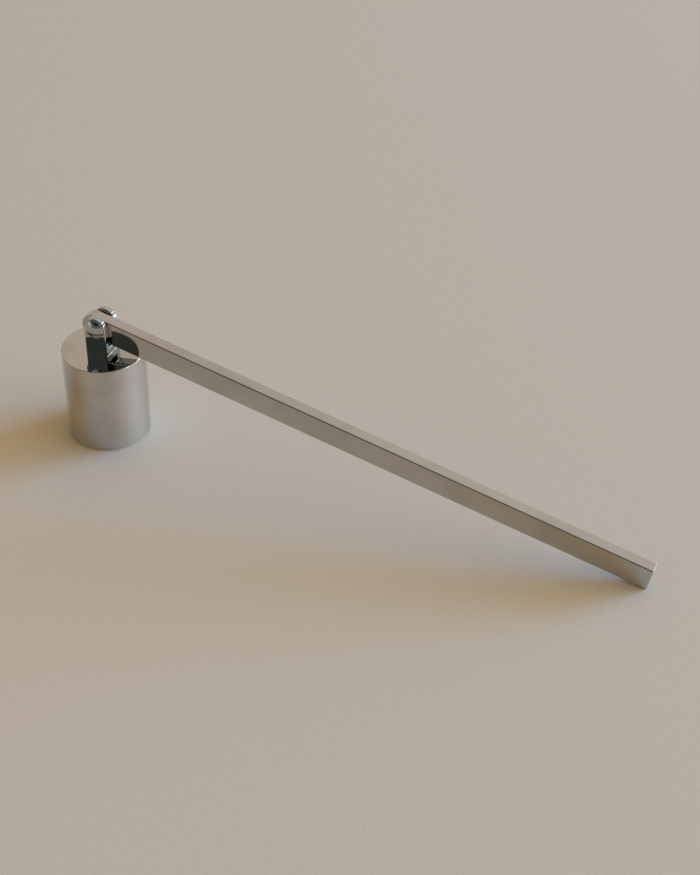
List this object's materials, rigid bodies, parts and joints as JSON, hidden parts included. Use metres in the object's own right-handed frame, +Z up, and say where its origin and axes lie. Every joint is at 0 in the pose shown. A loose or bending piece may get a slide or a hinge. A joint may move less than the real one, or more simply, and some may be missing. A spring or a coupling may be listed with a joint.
{
  "type": "candle snuffer",
  "caption": "Candle snuffer: an open cylindrical cup under a clevis, with a long flat-bar handle hinged on a domed rivet so that it swings over the cup.",
  "frame": {"origin": "middle of the cup's open rim, on the surface that the snuffer stands on", "axes": "+Z up, along the cup's axis from its open rim to its crown; +X level, from the cup towards the handle's far end; the hinge turns about Y"},
  "size_m": [0.193, 0.026, 0.0436],
  "materials": {
    "cup_steel": "polished, with a faint turned grain on the wall",
    "clevis_steel": "mirror polished",
    "handle_steel": "mirror polished",
    "rivet_steel": "mirror polished",
    "plated_fastener": "zinc plated"
  },
  "bodies": {
    "snuffer_cup": {"cup": "cup_steel", "clevis": "clevis_steel", "pivot_sleeve": "rivet_steel", "pivot_pin": "rivet_steel", "clevis_screw": "plated_fastener", "plain_washer": "plated_fastener", "spring_washer": "plated_fastener"},
    "handle_bar": {"handle": "handle_steel"}
  },
  "joints": [
    {"name": "handle_pivot", "type": "hinge", "parent": "snuffer_cup", "child": "handle_bar", "pos_m": [0, 0, 0.04], "axis": [0, -1, 0], "range_deg": [-5, 215]}
  ]
}
